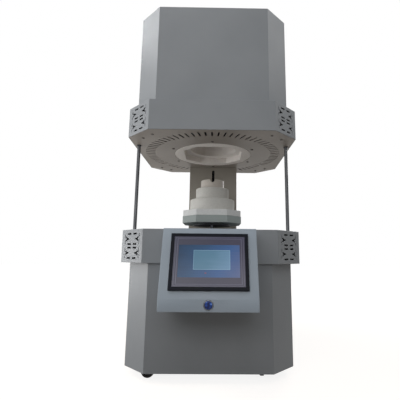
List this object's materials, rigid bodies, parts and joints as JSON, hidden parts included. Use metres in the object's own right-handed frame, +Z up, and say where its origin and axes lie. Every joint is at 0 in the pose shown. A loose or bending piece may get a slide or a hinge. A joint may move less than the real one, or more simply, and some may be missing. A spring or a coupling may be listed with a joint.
{
  "type": "dental sintering furnace",
  "caption": "Floor-standing bottom-loading sintering furnace for a dental lab: a lift raises a stepped fibre hearth with a crucible into the round mouth of its heated head.",
  "frame": {"origin": "on the ground, under the centre of the outline", "axes": "+Z up; -Y towards the front with the control box; +X to the right as seen from the front"},
  "size_m": [0.572, 0.7372, 1.197],
  "materials": {
    "grey_paint": "satin grey enamel",
    "panel_paint": "satin blue-grey enamel",
    "under_paint": "satin grey enamel, warm from heat",
    "tray_paint": "satin grey enamel",
    "black_plastic": "matt black",
    "screen_glass": "glossy lit display",
    "blue_lens": "glossy blue lens",
    "fibre": "matt white ceramic fibre",
    "dense_fibre": "matt off-white ceramic fibre board",
    "ceramic": "fired alumina",
    "silicide": "dark glazed heater",
    "brushed_steel": "brushed",
    "dark_steel": "dark zinc plate",
    "chrome": "polished",
    "aluminium": "bead blasted",
    "bronze": "machined bronze",
    "copper": "wound copper",
    "rubber": "matt black rubber"
  },
  "bodies": {
    "frame": {"cabinet_shell": "grey_paint", "base_floor": "dark_steel", "rear_panel": "grey_paint", "cable_gland": "black_plastic", "transformer_core": "dark_steel", "transformer_coil": "copper", "power_controller": "aluminium", "base_collar": "grey_paint", "base_deck": "grey_paint", "control_box": "panel_paint", "hmi_bezel": "black_plastic", "hmi_screen": "screen_glass", "button_body": "chrome", "pillar_left": "brushed_steel", "pillar_right": "brushed_steel", "column_cover": "grey_paint", "column_spine": "dark_steel", "lower_block": "aluminium", "upper_block": "aluminium", "guide_rod_left": "chrome", "guide_rod_right": "chrome", "lift_motor": "dark_steel", "head_floor": "under_paint", "head_collar": "grey_paint", "head_shell": "grey_paint", "head_top": "grey_paint", "mouth_ring": "fibre", "chamber_case": "brushed_steel", "chamber_wall": "fibre", "outer_insulation": "dense_fibre", "chamber_roof": "fibre", "heating_element_1": "silicide", "heating_element_2": "silicide", "heating_element_3": "silicide", "heating_element_4": "silicide", "terminal_ring": "ceramic", "thermocouple": "ceramic", "fan_frame": "black_plastic", "caster_frame": "dark_steel"},
    "hearth": {"carriage": "aluminium", "lift_nut": "bronze", "lift_arm": "dark_steel", "hearth_tray": "tray_paint", "hearth_board": "dense_fibre", "plug_lower": "fibre", "plug_upper": "fibre"},
    "crucible_body": {"crucible": "ceramic"},
    "screw": {"lead_screw": "brushed_steel"},
    "button": {"button_cap": "blue_lens"},
    "fan": {"fan_rotor": "black_plastic"},
    "fork_front_left": {"caster_fork_front_left": "dark_steel"},
    "wheel_front_left": {"caster_wheel_front_left": "rubber"},
    "fork_front_right": {"caster_fork_front_right": "dark_steel"},
    "wheel_front_right": {"caster_wheel_front_right": "rubber"},
    "fork_rear_left": {"caster_fork_rear_left": "dark_steel"},
    "wheel_rear_left": {"caster_wheel_rear_left": "rubber"},
    "fork_rear_right": {"caster_fork_rear_right": "dark_steel"},
    "wheel_rear_right": {"caster_wheel_rear_right": "rubber"}
  },
  "joints": [
    {"name": "hearth_lift", "type": "slide", "parent": "frame", "child": "hearth", "axis": [0, 0, 1], "range_m": [0, 0.25]},
    {"name": "screw_turn", "type": "hinge", "parent": "frame", "child": "screw", "pos_m": [0, 0.30425, 0.5], "axis": [0, 0, 1], "continuous": true},
    {"name": "crucible_lift", "type": "slide", "parent": "hearth", "child": "crucible_body", "axis": [0, 0, 1], "range_m": [0, 0.04]},
    {"name": "button_press", "type": "slide", "parent": "frame", "child": "button", "axis": [0, 1, 0], "range_m": [0, 0.002], "stiffness_N_per_m": 1500, "springref_m": -0.0005},
    {"name": "fan_spin", "type": "hinge", "parent": "frame", "child": "fan", "pos_m": [0, 0.07325, 1.177], "axis": [0, 0, 1], "continuous": true},
    {"name": "swivel_front_left", "type": "hinge", "parent": "frame", "child": "fork_front_left", "pos_m": [-0.16, -0.14875, 0.044], "axis": [0, 0, 1], "continuous": true},
    {"name": "roll_front_left", "type": "hinge", "parent": "fork_front_left", "child": "wheel_front_left", "pos_m": [-0.182, -0.14875, 0.02], "axis": [0, -1, 0], "continuous": true},
    {"name": "swivel_front_right", "type": "hinge", "parent": "frame", "child": "fork_front_right", "pos_m": [0.16, -0.14875, 0.044], "axis": [0, 0, 1], "continuous": true},
    {"name": "roll_front_right", "type": "hinge", "parent": "fork_front_right", "child": "wheel_front_right", "pos_m": [0.16, -0.12675, 0.02], "axis": [-1, 0, 0], "continuous": true},
    {"name": "swivel_rear_left", "type": "hinge", "parent": "frame", "child": "fork_rear_left", "pos_m": [-0.16, 0.29525, 0.044], "axis": [0, 0, 1], "continuous": true},
    {"name": "roll_rear_left", "type": "hinge", "parent": "fork_rear_left", "child": "wheel_rear_left", "pos_m": [-0.171, 0.3143, 0.02], "axis": [-0.866, -0.5, 0], "continuous": true},
    {"name": "swivel_rear_right", "type": "hinge", "parent": "frame", "child": "fork_rear_right", "pos_m": [0.16, 0.29525, 0.044], "axis": [0, 0, 1], "continuous": true},
    {"name": "roll_rear_right", "type": "hinge", "parent": "fork_rear_right", "child": "wheel_rear_right", "pos_m": [0.17556, 0.31081, 0.02], "axis": [-0.7071, 0.7071, 0], "continuous": true}
  ],
  "couplings": [
    {"joint": "screw_turn", "follows": "hearth_lift", "rad_per_m": 628.32}
  ]
}
